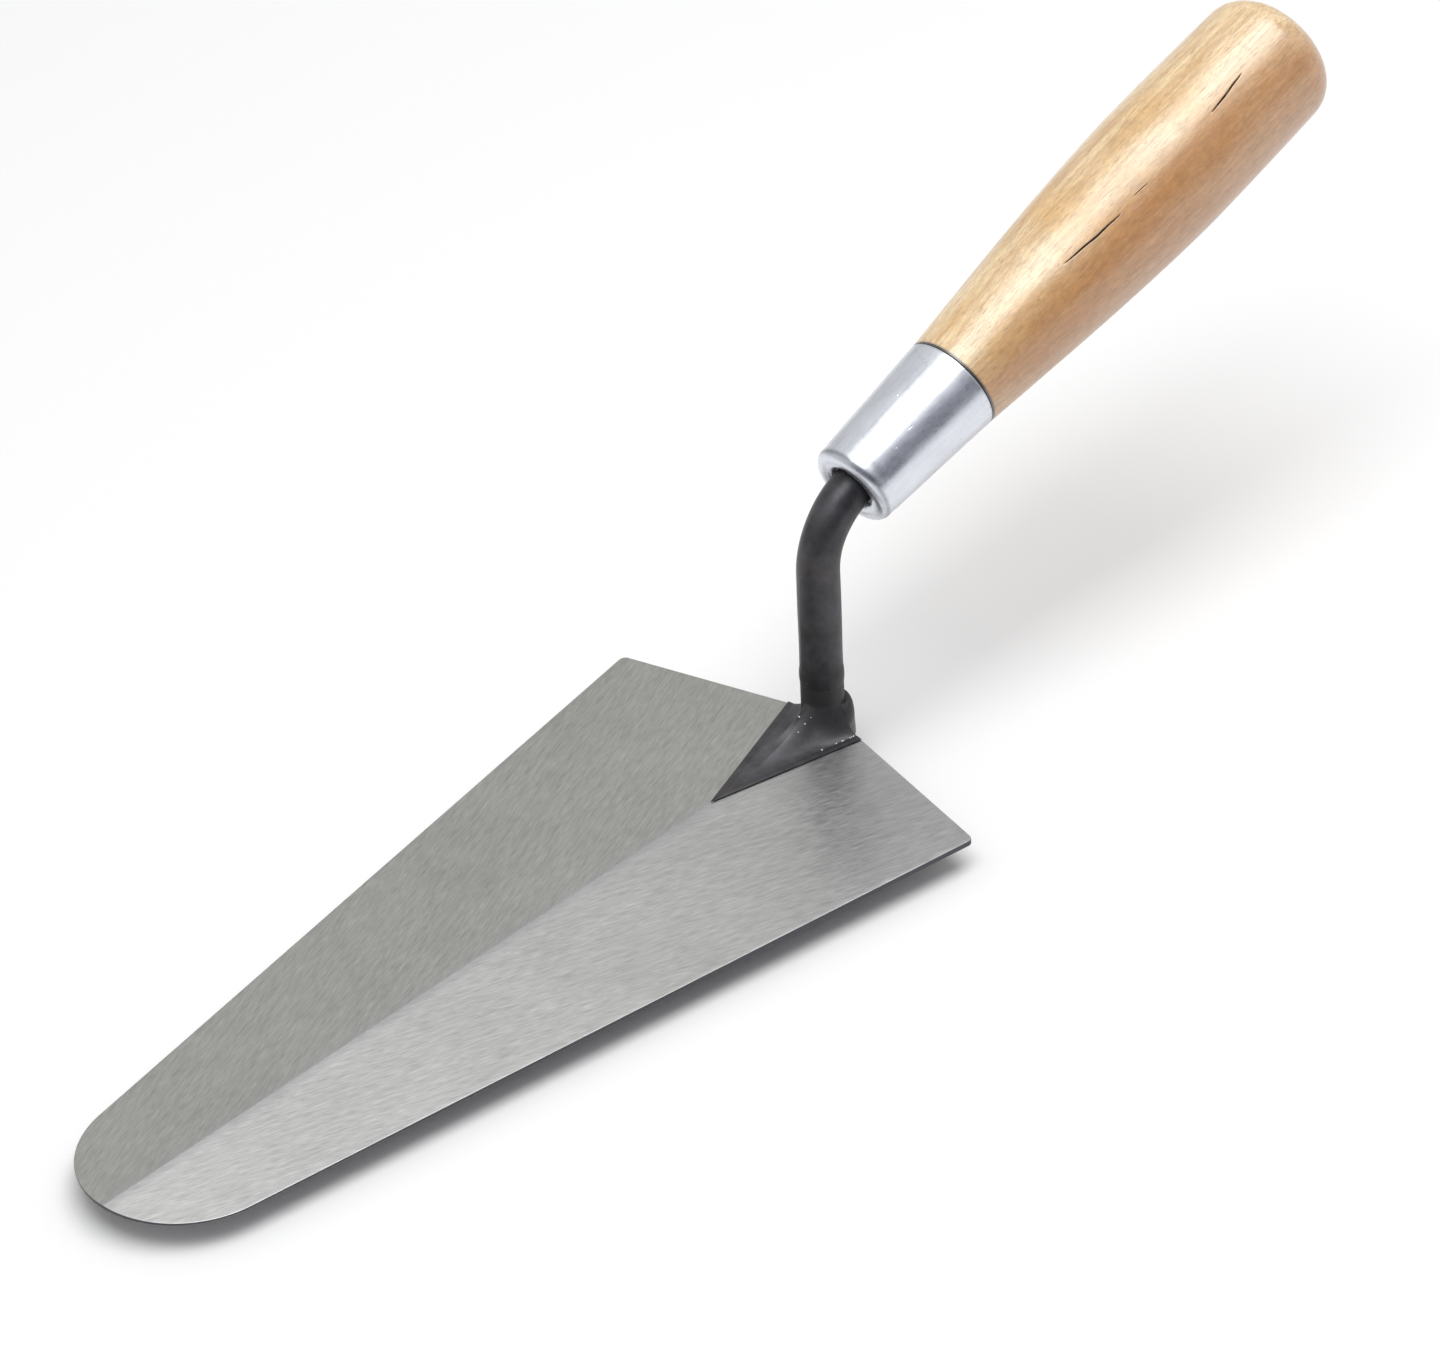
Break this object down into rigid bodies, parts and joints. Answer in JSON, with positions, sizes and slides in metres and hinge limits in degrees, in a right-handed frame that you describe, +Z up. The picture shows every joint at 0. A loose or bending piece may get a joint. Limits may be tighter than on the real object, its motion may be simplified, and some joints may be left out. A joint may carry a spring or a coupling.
{
  "type": "brick trowel",
  "caption": "Masonry trowel with a round-nosed taper-ground steel blade, forged foot, bent round shank, metal ferrule and turned wooden handle.",
  "frame": {"origin": "on the underside of the blade, at the middle of its heel", "axes": "+X from the nose of the blade towards the handle, +Z up from the blade, XZ is the middle plane"},
  "size_m": [0.3115, 0.0896, 0.0946],
  "materials": {
    "ground_steel": "brushed, fine grinding lines",
    "black_oxide_steel": "forged, black oxide, half gloss",
    "weld_metal": "dressed weld, dark scale",
    "ferrule_metal": "bright drawn metal",
    "lacquered_wood": "clear lacquer over pale hardwood"
  },
  "bodies": {
    "root": {"blade": "ground_steel", "foot": "black_oxide_steel", "foot_welds": "weld_metal", "shank": "black_oxide_steel", "shank_weld": "weld_metal", "ferrule": "ferrule_metal", "handle": "lacquered_wood"}
  },
  "joints": []
}
